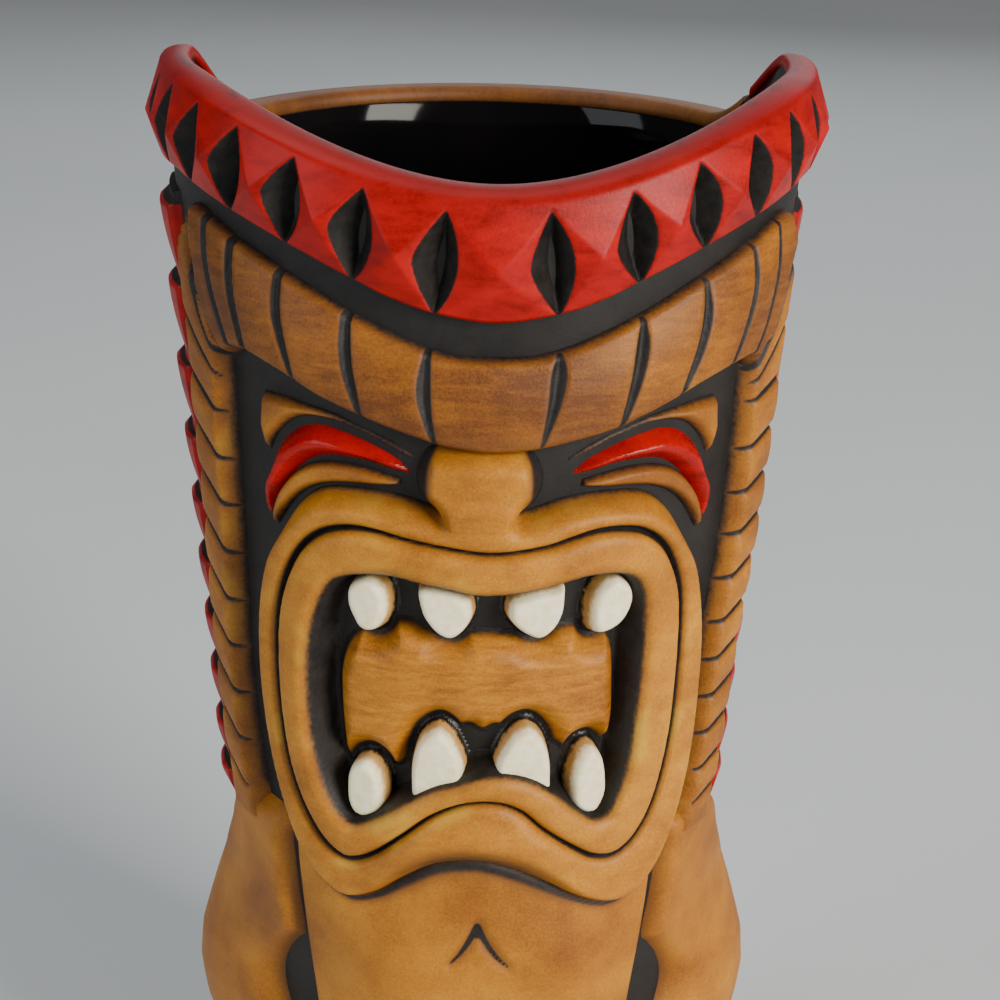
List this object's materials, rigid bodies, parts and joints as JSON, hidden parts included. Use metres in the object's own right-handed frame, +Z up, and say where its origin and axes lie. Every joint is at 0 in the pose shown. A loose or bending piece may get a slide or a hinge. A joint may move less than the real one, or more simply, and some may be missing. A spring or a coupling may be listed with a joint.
{
  "type": "tiki mug",
  "caption": "Tall tapered ceramic cup with a carved shouting face, red crown, teeth, plaited side columns, arms, hands, legs and feet in relief.",
  "frame": {"origin": "middle of the flat base, on the surface that the mug stands on", "axes": "+Z up along the cup's axis, the face looks along -Y, +X is to the right of a viewer who looks at the face"},
  "size_m": [0.0968, 0.093, 0.1915],
  "materials": {
    "dark_glaze": "gloss black inside, satin black-brown in the outside recesses",
    "brown_glaze": "satin, brushed",
    "red_glaze": "satin to gloss",
    "cream_glaze": "satin",
    "bare_clay": "matte, unglazed"
  },
  "bodies": {
    "root": {"cup_wall": "dark_glaze", "base": "bare_clay", "crown_band": "red_glaze", "mane_right": "red_glaze", "mane_left": "red_glaze", "eye_right": "red_glaze", "eye_left": "red_glaze", "brow_band": "brown_glaze", "nose": "brown_glaze", "outer_lip": "brown_glaze", "inner_lip": "brown_glaze", "tongue": "brown_glaze", "chest": "brown_glaze", "belly": "brown_glaze", "back_panel": "brown_glaze", "braid_right": "brown_glaze", "braid_left": "brown_glaze", "upper_lid_right": "brown_glaze", "upper_lid_left": "brown_glaze", "lower_lid_right": "brown_glaze", "lower_lid_left": "brown_glaze", "hand_right": "brown_glaze", "hand_left": "brown_glaze", "arm_right": "brown_glaze", "arm_left": "brown_glaze", "leg_right": "brown_glaze", "leg_left": "brown_glaze", "foot_right": "brown_glaze", "foot_left": "brown_glaze", "upper_tooth_inner_right": "cream_glaze", "upper_tooth_inner_left": "cream_glaze", "upper_tooth_outer_right": "cream_glaze", "upper_tooth_outer_left": "cream_glaze", "lower_tooth_inner_right": "cream_glaze", "lower_tooth_inner_left": "cream_glaze", "lower_tooth_outer_right": "cream_glaze", "lower_tooth_outer_left": "cream_glaze"}
  },
  "joints": []
}
